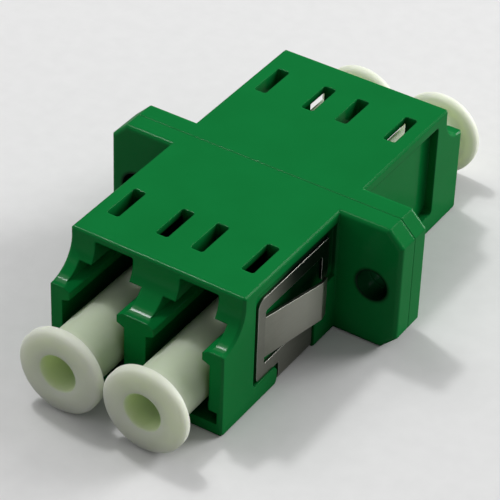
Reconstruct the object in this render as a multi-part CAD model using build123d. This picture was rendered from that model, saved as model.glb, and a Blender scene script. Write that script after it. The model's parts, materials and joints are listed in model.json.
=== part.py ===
from build123d import *
import os

# Duplex fibre adapter, in millimetres.
# X runs across the two ports, Y along the plugs, Z up from the underside.
# Y is 0 where the two moulded halves meet, and the front half lies on the -Y side.
# Every piece of a half is drawn on the +Y side, and a front piece is then mirrored.

# Ports, seen along the plug axis
PORT_WIDTH = 4.66
PORT_WEB = 1.59
SIDE_WALL = 0.945
FLOOR = 0.95
PORT_LOWER_HEIGHT = 4.4
RIB_DEPTH = 0.55
RIB_UNDER_RISE = 0.22
RIB_FACE_HEIGHT = 0.53
RIB_TOP_RISE = 0.32
UPPER_ZONE_HEIGHT = 0.88
LATCH_CHANNEL_WIDTH = 2.84
LATCH_CHANNEL_HEIGHT = 1.55
LATCH_CHANNEL_RADIUS = 0.15
TOP_WALL = 0.45

# Body of one half, seen from the side
HALF_LENGTH = 14.6
MID_WALL = 1.0
STEP_RADIUS = 2.25
STEP_FACE_HEIGHT = 0.7
STEP_EDGE_RADIUS = 0.2
TOP_EDGE_CHAMFER = 0.15
END_EDGE_CHAMFER = 0.12
END_FOOT_RADIUS = 0.3

# Groove and lip low in the outer wall of each port mouth
GROOVE_LENGTH = 3.2
GROOVE_HEIGHT = 0.9
GROOVE_WALL = 0.35
LIP_HEIGHT = 0.65
LIP_PROJECTION = 0.13
LIP_RADIUS = 0.12

# Latch windows through the top wall
WINDOW_WIDTH = 0.9
WINDOW_LENGTH = 3.05
WINDOW_END_MARGIN = 2.4
WINDOW_CORNER_CHAMFER = 0.12
WINDOW_LAP = 0.035

# Flange and its screw holes
FLANGE_THICKNESS = 3.1
SCREW_OFFSET = 2.6
SCREW_HOLE_DIAMETER = 2.2
EAR_MARGIN = 2.0
EAR_CHAMFER = 1.1
EAR_EDGE_RADIUS = 0.3
PARTING_CHAMFER = 0.03

# Pockets in the sides of the body
POCKET_WALL = 0.345
POCKET_START_GAP = 0.15
POCKET_BOTTOM = 1.5
POCKET_ROOF = 0.76
POCKET_END_MARGIN = 3.5
POCKET_RADIUS = 0.3
SHOULDER_GAP = 0.5
TONGUE_RADIUS = 0.5

# Ferrule sleeves and the tubes that hold them
FERRULE_DIAMETER = 1.25
SLEEVE_WALL = 0.185
SLEEVE_LENGTH = 6.8
SLEEVE_SLIT = 0.3
SLEEVE_CLEARANCE = 0.04
SLEEVE_END_PLAY = 0.05
FERRULE_CLEARANCE = 0.075
TUBE_WALL = 0.5
TUBE_REACH = 7.4
TUBE_TIP_CHAMFER = 0.15
TUBE_MOUTH_CHAMFER = 0.2

# Panel clip, one folded sheet
CLIP_THICKNESS = 0.2
CLIP_INSET = 0.1
CLIP_FRONT_GAP = 0.54
CLIP_TOP_GAP = 0.69
CLIP_LEG_GAP = 0.05
CLIP_REAR_GAP = 0.9
CLIP_BEND_RADIUS = 0.15
CLIP_NOSE_RADIUS = 0.6
CLIP_TOE_RADIUS = 0.3
CLIP_CORNER_RADIUS = 0.15
COLUMN_WIDTH = 0.81
UPPER_ARM_HEIGHT = 1.1
LOWER_ARM_HEIGHT = 0.98
HOOK_WIDTH = 0.75
HOOK_DROP = 2.95
LEG_LENGTH = 2.61
STRAP_REAR_GAP = 2.5
STRAP_BASE_GAP = 0.05
STRAP_ROOF_GAP = 0.1
CHANNEL_FRONT_GAP = 0.35
CHANNEL_REAR_GAP = 0.15
TAB_SLIT = 0.55
TAB_FREE_GAP = 2.15
TAB_FLARE = 0.85
TAB_LIP_LENGTH = 0.6
TAB_LIP_RETURN = 0.15
TAB_TOP_TAPER = 0.45
TAB_BOTTOM_TAPER = 0.25
TAB_ROOT = 0.4
TAB_BEND_RADIUS = 0.5

# Dust caps
CAP_SIDE_GAP = 0.305
CAP_FLOOR_GAP = 0.125
CAP_FIT = 0.05
CAP_ENGAGEMENT = 1.2
CAP_STANDOFF = 2.8
CAP_DISC_THICKNESS = 0.9
CAP_DISC_GAP = 0.25
CAP_RIM_CHAMFER = 0.2
CAP_FLARE_CHAMFER = 0.4
CAP_TOE_CHAMFER = 0.2
CAP_MOUTH_DIAMETER = 2.6
CAP_MOUTH_DEPTH = 6.0
CAP_MOUTH_CHAMFER = 0.08
CAP_WEB = 1.0
REAR_CAP_PUSH = {"left": 0.3, "right": 0}

# How far a cut runs past the face that it opens
CUT_OVERRUN = 1.0

# Levels above the underside
RIB_BOTTOM = FLOOR + PORT_LOWER_HEIGHT
RIB_FACE_BOTTOM = RIB_BOTTOM + RIB_UNDER_RISE
RIB_FACE_TOP = RIB_FACE_BOTTOM + RIB_FACE_HEIGHT
RIB_TOP = RIB_FACE_TOP + RIB_TOP_RISE
LATCH_LEDGE = RIB_TOP + UPPER_ZONE_HEIGHT
LATCH_CEILING = LATCH_LEDGE + LATCH_CHANNEL_HEIGHT
BODY_HEIGHT = LATCH_CEILING + TOP_WALL
POCKET_TOP = BODY_HEIGHT - POCKET_ROOF
STEP_CENTRE = BODY_HEIGHT - STEP_FACE_HEIGHT

# Distances across the body
PORT_PITCH = PORT_WIDTH + PORT_WEB
BODY_WIDTH = 2 * PORT_WIDTH + PORT_WEB + 2 * SIDE_WALL
BODY_SIDE = BODY_WIDTH / 2
OUTER_PORT_FACE = BODY_SIDE - SIDE_WALL
SCREW_PITCH = BODY_WIDTH + 2 * SCREW_OFFSET
FLANGE_WIDTH = SCREW_PITCH + 2 * EAR_MARGIN
WINDOW_OFFSET = (LATCH_CHANNEL_WIDTH + WINDOW_WIDTH) / 2 - WINDOW_LAP
CLIP_FACE = BODY_SIDE - CLIP_INSET
CLIP_SEAT = CLIP_FACE - CLIP_THICKNESS
PORT_CENTRES = {"left": -PORT_PITCH / 2, "right": PORT_PITCH / 2}

# Distances from the parting plane
FLANGE_FACE = FLANGE_THICKNESS / 2
TOP_WALL_END = HALF_LENGTH - STEP_RADIUS
WINDOW_END = TOP_WALL_END - WINDOW_END_MARGIN
POCKET_START = FLANGE_FACE + POCKET_START_GAP
POCKET_END = HALF_LENGTH - POCKET_END_MARGIN
SLEEVE_SEAT = SLEEVE_LENGTH / 2 + SLEEVE_END_PLAY
CLIP_FRONT = POCKET_END - CLIP_FRONT_GAP
CLIP_REAR = FLANGE_FACE + CLIP_REAR_GAP
COLUMN_REAR = CLIP_FRONT - COLUMN_WIDTH
STRAP_FRONT = CLIP_FRONT - LEG_LENGTH
STRAP_REAR = FLANGE_FACE + STRAP_REAR_GAP
CHANNEL_FRONT = STRAP_FRONT + CHANNEL_FRONT_GAP
CHANNEL_REAR = STRAP_REAR - CHANNEL_REAR_GAP
TAB_END = FLANGE_FACE + TAB_FREE_GAP
CAP_DISC_FACE = HALF_LENGTH + CAP_STANDOFF
CAP_END = CAP_DISC_FACE + CAP_DISC_THICKNESS
CAP_INNER_END = TUBE_REACH - CAP_ENGAGEMENT
CAP_MOUTH_FLOOR = CAP_END - CAP_MOUTH_DEPTH

# Levels of the clip
CLIP_TOP = POCKET_TOP - CLIP_TOP_GAP
HOOK_BOTTOM = CLIP_TOP - HOOK_DROP
SHOULDER_TOP = HOOK_BOTTOM - SHOULDER_GAP
CLIP_LEG_BOTTOM = POCKET_BOTTOM + CLIP_LEG_GAP
UPPER_ARM_BOTTOM = CLIP_TOP - UPPER_ARM_HEIGHT
LOWER_ARM_TOP = CLIP_LEG_BOTTOM + LOWER_ARM_HEIGHT
STRAP_TOP = STRAP_BASE_GAP + CLIP_THICKNESS
CHANNEL_ROOF = STRAP_TOP + STRAP_ROOF_GAP

# Round sections on the plug axis
CAP_BARREL_RADIUS = PORT_WIDTH / 2 - CAP_SIDE_GAP
CAP_DISC_RADIUS = (PORT_PITCH - CAP_DISC_GAP) / 2
AXIS_HEIGHT = FLOOR + CAP_FLOOR_GAP + CAP_BARREL_RADIUS
SLEEVE_RADIUS = FERRULE_DIAMETER / 2 + SLEEVE_WALL
SLEEVE_SEAT_RADIUS = SLEEVE_RADIUS + SLEEVE_CLEARANCE
FERRULE_BORE_RADIUS = FERRULE_DIAMETER / 2 + FERRULE_CLEARANCE
TUBE_RADIUS = SLEEVE_SEAT_RADIUS + TUBE_WALL
CAP_BORE_RADIUS = TUBE_RADIUS + CAP_FIT


def along_y(section, start, end):
    """Solid of an X-Z section between two distances from the parting plane."""
    return extrude(Plane.XZ.offset(-end) * section, end - start)


def across_x(outline, start, end):
    """Solid of a Y-Z outline between two distances from the middle plane."""
    return extrude(Plane.YZ.offset(start) * outline, end - start)


def both_sides(shape):
    """The shape together with its mirror image across the middle plane."""
    return shape + mirror(shape, about=Plane.YZ)


def turned(profile):
    """Solid of revolution about the plug axis, from a profile of radius and distance."""
    return Pos(0, 0, AXIS_HEIGHT) * revolve(profile, Axis.Y)


def corner(sketch, across, up):
    """The vertex of a sketch that lies nearest to a point."""
    return sketch.vertices().sort_by_distance((across, up, 0))[0]


def rectangle(left, right, bottom, top):
    """Rectangle between two pairs of opposite edges."""
    return Pos((left + right) / 2, (bottom + top) / 2) * Rectangle(right - left, top - bottom)


def body_block():
    """Plain block of one half, its upper end cut away by a concave quarter arc."""
    shelf = STEP_CENTRE - STEP_RADIUS
    edge = Polyline(
        (HALF_LENGTH, shelf),
        (HALF_LENGTH, 0),
        (PARTING_CHAMFER, 0),
        (PARTING_CHAMFER, BODY_HEIGHT),
        (TOP_WALL_END, BODY_HEIGHT),
        (TOP_WALL_END, STEP_CENTRE),
    )
    arc = CenterArc((HALF_LENGTH, STEP_CENTRE), STEP_RADIUS, 180, 90)
    outline = make_face(edge + arc)
    outline = fillet(corner(outline, HALF_LENGTH, 0), END_FOOT_RADIUS)
    outline = fillet(corner(outline, TOP_WALL_END, BODY_HEIGHT), STEP_EDGE_RADIUS)
    block = across_x(outline, -BODY_SIDE, BODY_SIDE)
    top_edges = block.edges().filter_by(Axis.Y).group_by(Axis.Z)[-1]
    block = chamfer(top_edges, TOP_EDGE_CHAMFER)
    return chamfer(block.edges().filter_by(Axis.Z).group_by(Axis.Y)[-1], END_EDGE_CHAMFER)


def flange():
    """Half of the panel flange: two screw ears with bevelled corners."""
    plate = rectangle(-FLANGE_WIDTH / 2, FLANGE_WIDTH / 2, 0, BODY_HEIGHT)
    plate = chamfer(plate.vertices(), EAR_CHAMFER)
    for side in (-1, 1):
        plate -= Pos(side * SCREW_PITCH / 2, BODY_HEIGHT / 2) * Circle(SCREW_HOLE_DIAMETER / 2)
    solid = along_y(plate, 0, FLANGE_FACE)
    front = solid.faces().sort_by(Axis.Y)[-1]
    solid = fillet(front.outer_wire().edges(), EAR_EDGE_RADIUS)
    back = solid.faces().sort_by(Axis.Y)[0]
    return chamfer(back.outer_wire().edges(), PARTING_CHAMFER)


def port_section():
    """Mouth of one port: plug bay, guide ribs on both sides, and latch channel above."""
    side = PORT_WIDTH / 2
    rib = side - RIB_DEPTH
    channel = LATCH_CHANNEL_WIDTH / 2
    right = Polyline(
        (0, FLOOR),
        (side, FLOOR),
        (side, RIB_BOTTOM),
        (rib, RIB_FACE_BOTTOM),
        (rib, RIB_FACE_TOP),
        (side, RIB_TOP),
        (side, LATCH_LEDGE),
        (channel, LATCH_LEDGE),
        (channel, LATCH_CEILING),
        (0, LATCH_CEILING),
    )
    section = make_face(right + mirror(right, about=Plane.YZ))
    return fillet(section.vertices().group_by(Axis.Y)[-1], LATCH_CHANNEL_RADIUS)


def latch_windows():
    """Two slots in the top wall beside the latch channel of one port."""
    outline = Rectangle(WINDOW_WIDTH, WINDOW_LENGTH)
    outline = chamfer(outline.vertices(), WINDOW_CORNER_CHAMFER)
    shaft = extrude(outline, BODY_HEIGHT - LATCH_LEDGE + CUT_OVERRUN)
    return both_sides(Pos(WINDOW_OFFSET, WINDOW_END - WINDOW_LENGTH / 2, LATCH_LEDGE) * shaft)


def sleeve_tube():
    """Moulded tube that stands in a port and receives the plug's ferrule."""
    tube = along_y(Circle(TUBE_RADIUS), MID_WALL, TUBE_REACH)
    tip = tube.edges().group_by(Axis.Y)[-1]
    return Pos(0, 0, AXIS_HEIGHT) * chamfer(tip, TUBE_TIP_CHAMFER)


def sleeve_bore():
    """Bore of the tube: a wide seat for the sleeve, then a narrower ferrule hole."""
    mouth = TUBE_REACH - TUBE_MOUTH_CHAMFER
    mouth_radius = FERRULE_BORE_RADIUS + TUBE_MOUTH_CHAMFER
    profile = Polyline(
        (0, 0),
        (SLEEVE_SEAT_RADIUS, 0),
        (SLEEVE_SEAT_RADIUS, SLEEVE_SEAT),
        (FERRULE_BORE_RADIUS, SLEEVE_SEAT),
        (FERRULE_BORE_RADIUS, mouth),
        (mouth_radius, TUBE_REACH),
        (0, TUBE_REACH),
        close=True,
    )
    return turned(make_face(profile))


def clip_way():
    """Side view of what the clip needs beyond a plain pocket: a way down past a rounded tongue."""
    tongue = rectangle(CHANNEL_FRONT, POCKET_END, 0, POCKET_BOTTOM)
    tongue = fillet(tongue.vertices().group_by(Axis.X)[0], TONGUE_RADIUS)
    return rectangle(CHANNEL_REAR, CHANNEL_FRONT + TONGUE_RADIUS, -CUT_OVERRUN, POCKET_BOTTOM) - tongue


def side_recess(depth, with_strap):
    """Pocket in the right side of the body, stepped and opened below for the clip if asked."""
    outline = rectangle(POCKET_START, POCKET_END, POCKET_BOTTOM, POCKET_TOP)
    outline = fillet(outline.vertices().group_by(Axis.X)[-1], POCKET_RADIUS)
    if with_strap:
        outline -= rectangle(POCKET_START, CHANNEL_REAR, POCKET_BOTTOM, SHOULDER_TOP)
        outline += clip_way()
    return across_x(outline, BODY_SIDE - depth, BODY_SIDE + CUT_OVERRUN)


def strap_channel():
    """Channel across the underside, rounded up into both side pockets."""
    reach = BODY_SIDE + CUT_OVERRUN
    core = rectangle(-CLIP_SEAT, CLIP_SEAT, CHANNEL_ROOF, BODY_HEIGHT)
    core = fillet(core.vertices().group_by(Axis.Y)[0], CLIP_BEND_RADIUS + STRAP_ROOF_GAP)
    section = rectangle(-reach, reach, -CUT_OVERRUN, POCKET_BOTTOM) - core
    return along_y(section, CHANNEL_REAR, CHANNEL_FRONT)


def mouth_groove():
    """Groove low in the outer wall of the right port."""
    section = rectangle(OUTER_PORT_FACE, BODY_SIDE - GROOVE_WALL, FLOOR, FLOOR + GROOVE_HEIGHT)
    return along_y(section, HALF_LENGTH - GROOVE_LENGTH, HALF_LENGTH + CUT_OVERRUN)


def mouth_lip():
    """Rounded lip that runs above the groove of the right port."""
    bottom = FLOOR + GROOVE_HEIGHT
    inner = OUTER_PORT_FACE - LIP_PROJECTION
    section = rectangle(inner, BODY_SIDE - GROOVE_WALL, bottom, bottom + LIP_HEIGHT)
    section = fillet(section.vertices().group_by(Axis.X)[0], LIP_RADIUS)
    return along_y(section, HALF_LENGTH - GROOVE_LENGTH, HALF_LENGTH - END_EDGE_CHAMFER)


def housing_half(pocket_depth, with_strap=False):
    """One moulded half: body, flange, ports, tubes, windows, grooves and side pockets."""
    half = body_block() + flange()
    port = along_y(port_section(), MID_WALL, HALF_LENGTH + CUT_OVERRUN)
    for centre in PORT_CENTRES.values():
        half -= Pos(centre, 0, 0) * (port + latch_windows())
        half += Pos(centre, 0, 0) * sleeve_tube()
        half -= Pos(centre, 0, 0) * sleeve_bore()
    half -= both_sides(mouth_groove())
    half += both_sides(mouth_lip())
    half -= both_sides(side_recess(pocket_depth, with_strap))
    return half


def front_housing():
    """The half that carries the panel clip."""
    half = housing_half(CLIP_INSET + CLIP_THICKNESS, with_strap=True)
    return mirror(half - strap_channel(), about=Plane.XZ)


def rear_housing():
    """The half with plain deep pockets in its sides."""
    return housing_half(SIDE_WALL - POCKET_WALL)


def split_sleeve():
    """Slit alignment sleeve, centred on the parting plane."""
    ring = Circle(SLEEVE_RADIUS) - Circle(FERRULE_DIAMETER / 2)
    ring -= rectangle(-SLEEVE_SLIT / 2, SLEEVE_SLIT / 2, 0, SLEEVE_RADIUS + CUT_OVERRUN)
    return Pos(0, 0, AXIS_HEIGHT) * along_y(ring, -SLEEVE_LENGTH / 2, SLEEVE_LENGTH / 2)


def clip_blank():
    """Sheet folded round the underside into a U, before its sides are cut out."""
    outer_radius = CLIP_BEND_RADIUS + CLIP_THICKNESS
    outer = rectangle(-CLIP_FACE, CLIP_FACE, STRAP_BASE_GAP, CLIP_TOP)
    outer = fillet(outer.vertices().group_by(Axis.Y)[0], outer_radius)
    inner = rectangle(-CLIP_SEAT, CLIP_SEAT, STRAP_TOP, CLIP_TOP + CUT_OVERRUN)
    inner = fillet(inner.vertices().group_by(Axis.Y)[0], CLIP_BEND_RADIUS)
    return along_y(outer - inner, CLIP_REAR, CLIP_FRONT)


def clip_outline():
    """Cut edge of the clip in side view, with its strap run on below the underside."""
    hook_front = CLIP_REAR + HOOK_WIDTH
    outline = make_face(
        Polyline(
            (CLIP_FRONT, CLIP_LEG_BOTTOM),
            (CLIP_FRONT, CLIP_TOP),
            (CLIP_REAR, CLIP_TOP),
            (CLIP_REAR, HOOK_BOTTOM),
            (hook_front, HOOK_BOTTOM),
            (hook_front, UPPER_ARM_BOTTOM),
            (COLUMN_REAR, UPPER_ARM_BOTTOM),
            (COLUMN_REAR, LOWER_ARM_TOP),
            (STRAP_REAR, LOWER_ARM_TOP),
            (STRAP_REAR, -CUT_OVERRUN),
            (STRAP_FRONT, -CUT_OVERRUN),
            (STRAP_FRONT, CLIP_LEG_BOTTOM),
            close=True,
        )
    )
    outline = fillet(corner(outline, CLIP_FRONT, CLIP_TOP), CLIP_NOSE_RADIUS)
    outline = fillet(corner(outline, CLIP_FRONT, CLIP_LEG_BOTTOM), CLIP_TOE_RADIUS)
    rounded = [
        (CLIP_REAR, CLIP_TOP),
        (CLIP_REAR, HOOK_BOTTOM),
        (hook_front, HOOK_BOTTOM),
        (hook_front, UPPER_ARM_BOTTOM),
        (COLUMN_REAR, UPPER_ARM_BOTTOM),
        (COLUMN_REAR, LOWER_ARM_TOP),
        (STRAP_REAR, LOWER_ARM_TOP),
        (STRAP_FRONT, CLIP_LEG_BOTTOM),
    ]
    for across, up in rounded:
        outline = fillet(corner(outline, across, up), CLIP_CORNER_RADIUS)
    return outline


def spring_tab():
    """Right spring tab: rooted in the front column, flared outward, its free end turned in."""
    middle = CLIP_FACE - CLIP_THICKNESS / 2
    crest = TAB_END + TAB_LIP_LENGTH
    path = FilletPolyline(
        (middle, COLUMN_REAR + TAB_ROOT),
        (middle, COLUMN_REAR),
        (middle + TAB_FLARE, crest),
        (middle + TAB_FLARE - TAB_LIP_RETURN, TAB_END),
        radius=TAB_BEND_RADIUS,
    )
    strip = extrude(trace(path, CLIP_THICKNESS), BODY_HEIGHT)
    root_top = UPPER_ARM_BOTTOM - TAB_SLIT
    root_bottom = LOWER_ARM_TOP + TAB_SLIT
    past_end = TAB_END - CLIP_THICKNESS
    past_root = COLUMN_REAR + TAB_ROOT + CLIP_THICKNESS
    outline = make_face(
        Polyline(
            (past_root, root_bottom),
            (past_root, root_top),
            (COLUMN_REAR, root_top),
            (past_end, root_top - TAB_TOP_TAPER),
            (past_end, root_bottom - TAB_BOTTOM_TAPER),
            (COLUMN_REAR, root_bottom),
            close=True,
        )
    )
    return strip & across_x(outline, 0, FLANGE_WIDTH / 2)


def panel_clip():
    """Spring clip that holds the adapter in a panel, folded from one sheet."""
    plates = clip_blank() & across_x(clip_outline(), -BODY_SIDE, BODY_SIDE)
    return mirror(plates + both_sides(spring_tab()), about=Plane.XZ)


def dust_cap():
    """Cap with a flared disc; its barrel pushes over the sleeve tube of a rear port."""
    profile = make_face(
        Polyline(
            (CAP_BORE_RADIUS, CAP_INNER_END),
            (CAP_BARREL_RADIUS, CAP_INNER_END),
            (CAP_BARREL_RADIUS, CAP_DISC_FACE),
            (CAP_DISC_RADIUS, CAP_DISC_FACE),
            (CAP_DISC_RADIUS, CAP_END),
            (CAP_MOUTH_DIAMETER / 2, CAP_END),
            (CAP_MOUTH_DIAMETER / 2, CAP_MOUTH_FLOOR),
            (0, CAP_MOUTH_FLOOR),
            (0, CAP_MOUTH_FLOOR - CAP_WEB),
            (CAP_BORE_RADIUS, CAP_MOUTH_FLOOR - CAP_WEB),
            close=True,
        )
    )
    profile = chamfer(profile.vertices().group_by(Axis.X)[-1], CAP_RIM_CHAMFER)
    profile = chamfer(corner(profile, CAP_BARREL_RADIUS, CAP_DISC_FACE), CAP_FLARE_CHAMFER)
    profile = chamfer(corner(profile, CAP_MOUTH_DIAMETER / 2, CAP_END), CAP_MOUTH_CHAMFER)
    profile = chamfer(corner(profile, CAP_BARREL_RADIUS, CAP_INNER_END), CAP_TOE_CHAMFER)
    return turned(profile)


os.makedirs("parts", exist_ok=True)
export_step(front_housing(), "parts/front_housing.step")
export_step(rear_housing(), "parts/rear_housing.step")
export_step(panel_clip(), "parts/panel_clip.step")
for side, centre in PORT_CENTRES.items():
    export_step(Pos(centre, 0, 0) * split_sleeve(), f"parts/split_sleeve_{side}.step")
    front_cap = mirror(dust_cap(), about=Plane.XZ)
    export_step(Pos(centre, 0, 0) * front_cap, f"parts/dust_cap_front_{side}.step")
    rear_cap = Pos(centre, -REAR_CAP_PUSH[side], 0) * dust_cap()
    export_step(rear_cap, f"parts/dust_cap_rear_{side}.step")
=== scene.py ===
import json
import math

import bpy
from mathutils import Matrix, Vector

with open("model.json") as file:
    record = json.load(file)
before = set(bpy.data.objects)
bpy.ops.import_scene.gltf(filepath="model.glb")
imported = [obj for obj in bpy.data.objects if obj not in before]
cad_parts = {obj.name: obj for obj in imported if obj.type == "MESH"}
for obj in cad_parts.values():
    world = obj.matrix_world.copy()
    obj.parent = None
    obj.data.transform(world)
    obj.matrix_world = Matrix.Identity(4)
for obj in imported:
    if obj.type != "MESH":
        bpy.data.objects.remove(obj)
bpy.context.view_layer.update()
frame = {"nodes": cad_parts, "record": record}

MM = 0.001
NODES = frame["nodes"]

# Camera, fitted to the photograph: angles in degrees, lengths in millimetres
AZIMUTH = 31.606
ELEVATION = 37.291
ROLL = 2.145
DISTANCE = 156.96
SLIDE_RIGHT = -1.055
SLIDE_UP = -5.387
AIM_HEIGHT = 9.3
FOCAL_PIXELS = 2465.9
IMAGE_PIXELS = 500
SENSOR_MM = 36.0
NEAR_CLIP = 0.001

# Light: the even part, then each lamp's azimuth, elevation, distance, size and power
AMBIENT = 0.275
LAMPS = {
    "left": (-110, 60, 0.50, 0.25, 0.52),
    "glint": (-110, 62, 0.50, 0.05, 0.55),
    "right": (138, 35, 0.50, 0.20, 0.72),
    "side": (153, 12, 0.50, 0.20, 1.60),
    "front": (-50, 25, 0.50, 0.30, 0.20),
}
LAMP_AIM = (0, 0, 0.004)
WHITE = (1, 1, 1, 1)

# Colours, linear
GREEN = (0.0044, 0.190, 0.040, 1)
GREEN_DEEP = (0.0038, 0.175, 0.0355, 1)
# Painted shade on the housing: in its hollows, and darkest in its pocket corners and screw holes
GREEN_SHADE = (0.0015, 0.060, 0.012, 1)
GREEN_DARK_SHADE = (0.0012, 0.020, 0.006, 1)
CAP = (0.77, 0.81, 0.68, 1)
CAP_WARM = (0.73, 0.79, 0.62, 1)
# Painted shade on the cap barrels, deeper and yellower in their hollows
CAP_BARREL_SHADED = (0.59, 0.68, 0.50, 1)
CAP_SHADE = (0.42, 0.56, 0.28, 1)
# Painted glow inside the cap bores
CAP_BORE_GLOW = (0.79, 1.00, 0.56, 1)
STEEL = (0.235, 0.24, 0.20, 1)
STEEL_DULL = (0.20, 0.205, 0.17, 1)
# Painted light on the clip's flared tabs
STEEL_TAB_LIT = (0.38, 0.38, 0.33, 1)
# Painted shade on the clip: in its hollows, and darkest in its upper rear corner
STEEL_SHADE = (0.15, 0.155, 0.125, 1)
STEEL_DARK_SHADE = (0.012, 0.022, 0.014, 1)
# The clip's cut edges: brighter metal with a painted highlight
STEEL_WORN_AND_SHEEN = (0.46, 0.46, 0.42, 1)
ZIRCONIA = (0.80, 0.79, 0.75, 1)
ZIRCONIA_WARM = (0.74, 0.72, 0.66, 1)
PAPER = (0.82, 0.82, 0.82, 1)
PAPER_BOUNCE = (0.30, 0.30, 0.30, 1)

# Noises: waves to the millimetre and octaves, and the steel's stretch along its sheet
GREEN_CLOUD = (0.25, 3)
GREEN_TEXTURE = (7.0, 3)
CAP_CLOUD = (0.35, 3)
CAP_SHEEN = (2.0, 3)
CAP_TEXTURE = (5.0, 3)
STEEL_CLOUD = (0.7, 3)
STEEL_GRAIN = (1.0, 4, (1, 0.6, 22))
ZIRCONIA_CLOUD = (1.5, 2)
ZIRCONIA_SHEEN = (6.0, 3)
PAPER_FIBRE = (0.8, 4)
NOISE_LOW = 0.3
NOISE_HIGH = 0.7

# Painted shade in hollows: how far it looks, in millimetres, then the openness read as 0 and as 1
GREEN_HOLLOW = (2.5, 0.16, 0.64)
CAP_HOLLOW = (2.0, 0.05, 0.60)
STEEL_HOLLOW = (5.0, 0.45, 0.95)

# Softened edges, in millimetres, and the rays that look for them and for hollows
GREEN_EDGE = 0.15
CAP_EDGE = 0.12
STEEL_EDGE = 0.05
ZIRCONIA_EDGE = 0.03
SHADER_RAYS = 8

# Reliefs: strength, and depth in millimetres
GREEN_RELIEF = (0.10, 0.012)
CAP_RELIEF = (0.10, 0.015)
STEEL_RELIEF = (0.12, 0.010)

# Gloss: a pair is the least and the most over the surface
GREEN_ROUGHNESS = 0.5
GREEN_COAT = (0.0, 0.14)
GREEN_COAT_START = 0.3
GREEN_COAT_ROUGHNESS = 0.11
CAP_ROUGHNESS = (0.42, 0.55)
CAP_SPECULAR = 0.2
CAP_DEPTH_WEIGHT = 0.85
CAP_DEPTH_RADIUS = (1.0, 1.05, 0.85)
CAP_DEPTH_SCALE = 0.0018
STEEL_ROUGHNESS = (0.30, 0.44)
# Where the clip's softened edges turn bright: brighter cut metal with a painted highlight
STEEL_WEAR_AND_SHEEN = (0.90, 0.995)
ZIRCONIA_ROUGHNESS = (0.2, 0.3)
PAPER_ROUGHNESS = 0.9
PAPER_TONE = (0.97, 1.0)

# The caps' axes and mouths, for the painted glow in the bores, and where their barrels flare into the
# discs, for the painted shade on the barrels, in millimetres
CAP_OFFSET = 3.125
CAP_HEIGHT = 3.1
CAP_BORE_RADIUS = 1.28
CAP_BORE_BLEND = 0.12
BARREL_END = 16.3
DISC_START = 17.3

# Painted light on the clip's tabs: where they leave its sides, and where they stand out most, in
# millimetres
TAB_START = 6.35
TAB_CREST = 6.9

# Painted shade in the corner of the pockets, high up against the flange, in millimetres by axis
CORNER_CENTRE = (0, -4.5, 6.9)
CORNER_HALF = (6.3, 2.0, 1.4)
CORNER_BLEND = (0.15, 3.0, 1.0)

# Painted shade inside the screw holes, in millimetres
HOLE_OFFSET = 9.0
HOLE_HEIGHT = 4.65
HOLE_RADIUS = 1.12
HOLE_BLEND = 0.25

# Faces of a cap that meet at less than this angle are shaded as one curved surface
CREASE_ANGLE = 50
WELD_DISTANCE = 0.000001
FLOOR_SIZE = 6.0


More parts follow.
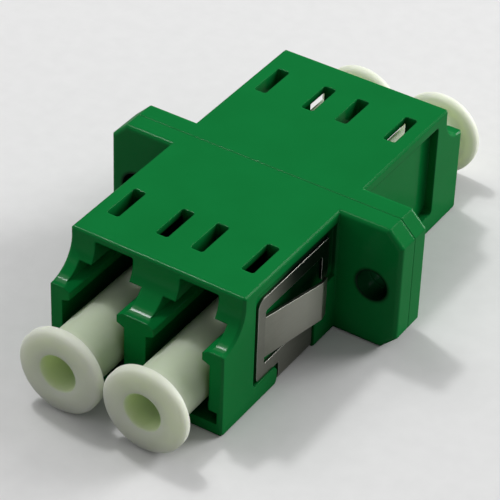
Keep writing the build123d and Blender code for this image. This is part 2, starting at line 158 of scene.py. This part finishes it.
class Shader:
    """A node tree under construction, with short calls for the nodes used here."""

    def __init__(self, name):
        self.material = bpy.data.materials.new(name)
        self.material.use_nodes = True
        self.tree = self.material.node_tree
        self.surface = self.tree.nodes["Principled BSDF"]

    def set(self, **values):
        """Sets or links inputs of the surface shader, by socket name with underscores for spaces."""
        for name, value in values.items():
            self.feed(self.surface.inputs[name.replace("_", " ")], value)
        return self

    def node(self, kind, inputs=(), **settings):
        """A node with its settings, and its inputs by name or number: a value, or a socket to link."""
        made = self.tree.nodes.new(kind)
        for name, value in settings.items():
            setattr(made, name, value)
        for name, value in dict(inputs).items():
            self.feed(made.inputs[name], value)
        return made

    def feed(self, socket, value):
        """Links a socket to another, or sets it to a value."""
        if isinstance(value, bpy.types.NodeSocket):
            self.tree.links.new(value, socket)
        else:
            socket.default_value = value

    def number(self, operation, *values):
        """The result of a sum on one or two numbers."""
        made = self.node("ShaderNodeMath", enumerate(values), operation=operation)
        return made.outputs["Value"]

    def vector(self, operation, *values):
        """The vector that comes of a sum on one or two vectors."""
        made = self.node("ShaderNodeVectorMath", enumerate(values), operation=operation)
        return made.outputs["Vector"]

    def measure(self, operation, *values):
        """The number that comes of a sum on one or two vectors."""
        made = self.node("ShaderNodeVectorMath", enumerate(values), operation=operation)
        return made.outputs["Value"]

    def span(self, value, low, high, start=NOISE_LOW, end=NOISE_HIGH):
        """Maps a value from one range to another; the first is a noise's usual spread."""
        inputs = {"Value": value, "From Min": start, "From Max": end, "To Min": low, "To Max": high}
        return self.node("ShaderNodeMapRange", inputs).outputs["Result"]

    def mix(self, value, first, second):
        """Colour between two, by a value from 0 to 1."""
        made = self.node("ShaderNodeMix", data_type="RGBA")
        self.feed(made.inputs["Factor"], value)
        ends = [socket for socket in made.inputs if socket.type == "RGBA"]
        self.feed(ends[0], first)
        self.feed(ends[1], second)
        return next(socket for socket in made.outputs if socket.type == "RGBA")

    def place(self, stretch=(1, 1, 1)):
        """Position on the object, in millimetres, stretched along its axes."""
        where = self.node("ShaderNodeTexCoord").outputs["Object"]
        scale = [s / MM for s in stretch]
        return self.node("ShaderNodeMapping", {"Vector": where, "Scale": scale}).outputs["Vector"]

    def along(self, axis):
        """Distance from the middle along an axis, in millimetres."""
        where = self.node("ShaderNodeSeparateXYZ", {"Vector": self.place()}).outputs[axis]
        return self.number("ABSOLUTE", where)

    def noise(self, scale, detail, stretch=(1, 1, 1)):
        """Noise whose grain has scale waves to the millimetre."""
        inputs = {"Vector": self.place(stretch), "Scale": scale, "Detail": detail}
        return self.node("ShaderNodeTexNoise", inputs).outputs["Fac"]

    def soft_edge(self, radius_mm):
        """Normal with its edges rounded to a radius."""
        made = self.node("ShaderNodeBevel", {"Radius": radius_mm * MM}, samples=SHADER_RAYS)
        return made.outputs["Normal"]

    def relief(self, normal, height, strength, depth_mm):
        """Normal with a fine relief on top."""
        inputs = {"Strength": strength, "Distance": depth_mm * MM, "Height": height, "Normal": normal}
        return self.node("ShaderNodeBump", inputs).outputs["Normal"]

    def openness(self, reach_mm, closed, free):
        """0 deep inside a hollow, rising to 1 on an open face, from what lies within a reach."""
        inputs = {"Distance": reach_mm * MM}
        made = self.node("ShaderNodeAmbientOcclusion", inputs, samples=SHADER_RAYS)
        return self.span(made.outputs["AO"], 0, 1, closed, free)

    def edge_wear_and_sheen(self, soft, low, high):
        """0 on flat faces, rising to 1 where a softened edge leaves the true surface."""
        true = self.node("ShaderNodeNewGeometry").outputs["True Normal"]
        return self.span(self.measure("DOT_PRODUCT", soft, true), 1, 0, low, high)

    def outward(self, axis, start_mm, end_mm):
        """0 up to a distance from the middle along an axis, rising to 1 at a second one."""
        return self.span(self.along(axis), 0, 1, start_mm, end_mm)

    def off_axis(self, offset_mm, height_mm, radius_mm, blend_mm):
        """0 within a radius of the nearer of a pair of axes along Y, rising to 1 outside it."""
        across = self.number("SUBTRACT", self.along("X"), offset_mm)
        up = self.number("SUBTRACT", self.along("Z"), height_mm)
        reach = self.node("ShaderNodeCombineXYZ", {"X": across, "Y": up}).outputs["Vector"]
        return self.span(self.measure("LENGTH", reach), 0, 1, radius_mm, radius_mm + blend_mm)

    def in_box(self, centre, half, blend):
        """1 inside a box, falling to 0 at a blend from its sides; all in millimetres by axis."""
        beside = self.vector("ABSOLUTE", self.vector("SUBTRACT", self.place(), centre))
        outside = self.vector("MAXIMUM", self.vector("SUBTRACT", beside, half), (0, 0, 0))
        return self.span(self.measure("LENGTH", self.vector("DIVIDE", outside, blend)), 1, 0, 0, 1)


def housing_plastic():
    """Green moulded plastic with faint flow variation and a fine tool texture, and painted shade in
    its hollows, its pocket corners and its screw holes.
    """
    shader = Shader("housing_plastic")
    cloud = shader.mix(shader.span(shader.noise(*GREEN_CLOUD), 0, 1), GREEN_DEEP, GREEN)
    open_face = shader.openness(*GREEN_HOLLOW)
    # Painted shade in the hollows
    shaded = shader.mix(open_face, GREEN_SHADE, cloud)
    corner = shader.in_box(CORNER_CENTRE, CORNER_HALF, CORNER_BLEND)
    # Painted shade in the pocket corner against the flange
    corner_shaded = shader.mix(corner, shaded, GREEN_DARK_SHADE)
    # Painted shade inside the screw holes
    hole = shader.off_axis(HOLE_OFFSET, HOLE_HEIGHT, HOLE_RADIUS, HOLE_BLEND)
    colour = shader.mix(hole, GREEN_DARK_SHADE, corner_shaded)
    texture = shader.noise(*GREEN_TEXTURE)
    normal = shader.relief(shader.soft_edge(GREEN_EDGE), texture, *GREEN_RELIEF)
    shader.set(Base_Color=colour, Roughness=GREEN_ROUGHNESS, Specular_IOR_Level=0.0, Normal=normal)
    shader.set(Coat_Weight=shader.span(open_face, *GREEN_COAT, GREEN_COAT_START, 1))
    return shader.set(Coat_Roughness=GREEN_COAT_ROUGHNESS, Coat_Normal=normal).material


def cap_plastic():
    """Natural soft plastic, slightly translucent; painted shade on its barrels, yellower in their
    hollows, and a painted glow in its bores.
    """
    shader = Shader("cap_plastic")
    cloud = shader.mix(shader.span(shader.noise(*CAP_CLOUD), 0, 1), CAP_WARM, CAP)
    # Painted shade: the barrels darker than the discs, deeper and yellower in hollows
    barrel = shader.mix(shader.openness(*CAP_HOLLOW), CAP_SHADE, CAP_BARREL_SHADED)
    outside = shader.mix(shader.outward("Y", BARREL_END, DISC_START), barrel, cloud)
    # Painted glow inside the bores
    bore = shader.off_axis(CAP_OFFSET, CAP_HEIGHT, CAP_BORE_RADIUS, CAP_BORE_BLEND)
    colour = shader.mix(bore, CAP_BORE_GLOW, outside)
    texture = shader.noise(*CAP_TEXTURE)
    normal = shader.relief(shader.soft_edge(CAP_EDGE), texture, *CAP_RELIEF)
    shader.set(Base_Color=colour, Roughness=shader.span(shader.noise(*CAP_SHEEN), *CAP_ROUGHNESS))
    shader.set(Subsurface_Weight=CAP_DEPTH_WEIGHT, Subsurface_Radius=CAP_DEPTH_RADIUS)
    shader.set(Subsurface_Scale=CAP_DEPTH_SCALE, Specular_IOR_Level=CAP_SPECULAR)
    return shader.set(Normal=normal).material


def clip_steel():
    """Rolled spring steel, its grain along the sheet, brighter on its cut edges with a painted
    highlight; painted light on its tabs, painted shade in its hollows and its upper rear corner.
    """
    shader = Shader("clip_steel")
    grain = shader.noise(*STEEL_GRAIN)
    soft = shader.soft_edge(STEEL_EDGE)
    sheet = shader.mix(shader.span(shader.noise(*STEEL_CLOUD), 0, 1), STEEL_DULL, STEEL)
    # Painted light on the flared tabs
    tab_lit = shader.mix(shader.outward("X", TAB_START, TAB_CREST), sheet, STEEL_TAB_LIT)
    # Painted shade in the hollows
    shaded = shader.mix(shader.openness(*STEEL_HOLLOW), STEEL_SHADE, tab_lit)
    corner = shader.in_box(CORNER_CENTRE, CORNER_HALF, CORNER_BLEND)
    # Painted shade in the upper rear corner against the flange
    corner_shaded = shader.mix(corner, shaded, STEEL_DARK_SHADE)
    # Brighter cut edges with a painted highlight
    colour = shader.mix(shader.edge_wear_and_sheen(soft, *STEEL_WEAR_AND_SHEEN), corner_shaded, STEEL_WORN_AND_SHEEN)
    shader.set(Base_Color=colour, Metallic=1.0, Roughness=shader.span(grain, *STEEL_ROUGHNESS))
    return shader.set(Normal=shader.relief(soft, grain, *STEEL_RELIEF)).material


def sleeve_ceramic():
    """Ground zirconia."""
    shader = Shader("sleeve_ceramic")
    cloud = shader.span(shader.noise(*ZIRCONIA_CLOUD), 0, 1)
    shader.set(Base_Color=shader.mix(cloud, ZIRCONIA_WARM, ZIRCONIA))
    shader.set(Roughness=shader.span(shader.noise(*ZIRCONIA_SHEEN), *ZIRCONIA_ROUGHNESS))
    return shader.set(Normal=shader.soft_edge(ZIRCONIA_EDGE)).material


def floor_paper():
    """Pale paper, which throws back less light than it shows."""
    shader = Shader("floor_paper")
    path = shader.node("ShaderNodeLightPath").outputs
    mirrored = shader.number("MAXIMUM", path["Is Glossy Ray"], path["Is Transmission Ray"])
    shown = shader.number("MAXIMUM", path["Is Camera Ray"], mirrored)
    fibre = shader.span(shader.noise(*PAPER_FIBRE), *PAPER_TONE)
    tone = shader.mix(shown, PAPER_BOUNCE, PAPER)
    inputs = {"Vector": tone, "Scale": fibre}
    colour = shader.node("ShaderNodeVectorMath", inputs, operation="SCALE").outputs["Vector"]
    shader.set(Base_Color=colour, Roughness=PAPER_ROUGHNESS, Specular_IOR_Level=0.0)
    return shader.material


def finish_node(name, material):
    """Gives a CAD piece its material."""
    piece = NODES[name]
    piece.data.materials.clear()
    piece.data.materials.append(material)


def round_off(name):
    """Shades the chamfers of a cap as the roundings that they stand for."""
    piece = NODES[name]
    piece.data.polygons.foreach_set("use_smooth", [True] * len(piece.data.polygons))
    weld = piece.modifiers.new("weld", "WELD")
    weld.merge_threshold = WELD_DISTANCE
    crease = piece.modifiers.new("crease", "EDGE_SPLIT")
    crease.split_angle = math.radians(CREASE_ANGLE)
    crease.use_edge_sharp = False
    piece.modifiers.new("flats", "WEIGHTED_NORMAL")


def make_floor():
    """Pale floor under the part."""
    bpy.ops.mesh.primitive_plane_add(size=FLOOR_SIZE, location=(0, 0, 0))
    floor = bpy.context.object
    floor.name = "floor"
    floor.data.materials.append(floor_paper())


def make_world():
    """Even soft light from all round."""
    world = bpy.data.worlds.new("studio")
    world.use_nodes = True
    bpy.context.scene.world = world
    background = world.node_tree.nodes["Background"]
    background.inputs["Color"].default_value = WHITE
    background.inputs["Strength"].default_value = AMBIENT


def direction(azimuth, elevation):
    """Unit vector away from the object, for an azimuth and an elevation in degrees."""
    a, e = math.radians(azimuth), math.radians(elevation)
    return Vector((math.sin(a) * math.cos(e), -math.cos(a) * math.cos(e), math.sin(e)))


def make_lamp(name, azimuth, elevation, distance, size, power):
    """Round soft light aimed at the part."""
    back = direction(azimuth, elevation)
    data = bpy.data.lights.new(name, "AREA")
    data.shape = "DISK"
    data.size = size
    data.energy = power
    lamp = bpy.data.objects.new(name, data)
    lamp.location = Vector(LAMP_AIM) + back * distance
    lamp.rotation_mode = "QUATERNION"
    lamp.rotation_quaternion = (-back).to_track_quat("-Z", "Y")
    bpy.context.collection.objects.link(lamp)


def make_camera():
    """Camera at the photograph's viewing angle, aimed by its fitted slides."""
    back = direction(AZIMUTH, ELEVATION)
    level = direction(AZIMUTH + 90, 0)
    right = Matrix.Rotation(math.radians(ROLL), 3, back) @ level
    up = back.cross(right)
    aim = Vector((0, 0, AIM_HEIGHT))
    place = (aim + back * DISTANCE + right * SLIDE_RIGHT + up * SLIDE_UP) * MM
    data = bpy.data.cameras.new("camera")
    data.sensor_width = SENSOR_MM
    data.lens = FOCAL_PIXELS / IMAGE_PIXELS * SENSOR_MM
    data.clip_start = NEAR_CLIP
    camera = bpy.data.objects.new("camera", data)
    camera.matrix_world = Matrix.Translation(place) @ Matrix((right, up, back)).transposed().to_4x4()
    bpy.context.collection.objects.link(camera)
    bpy.context.scene.camera = camera


FINISHES = {
    "housing": housing_plastic(),
    "sleeve": sleeve_ceramic(),
    "clip": clip_steel(),
    "cap": cap_plastic(),
}
for subpart in frame["record"]["subparts"]:
    finish_node(subpart["node"], FINISHES[subpart["material_slot"]])
    if subpart["material_slot"] == "cap":
        round_off(subpart["node"])

make_floor()
make_world()
make_camera()
for name, setting in LAMPS.items():
    make_lamp(name, *setting)
bpy.context.scene.view_settings.view_transform = "Standard"
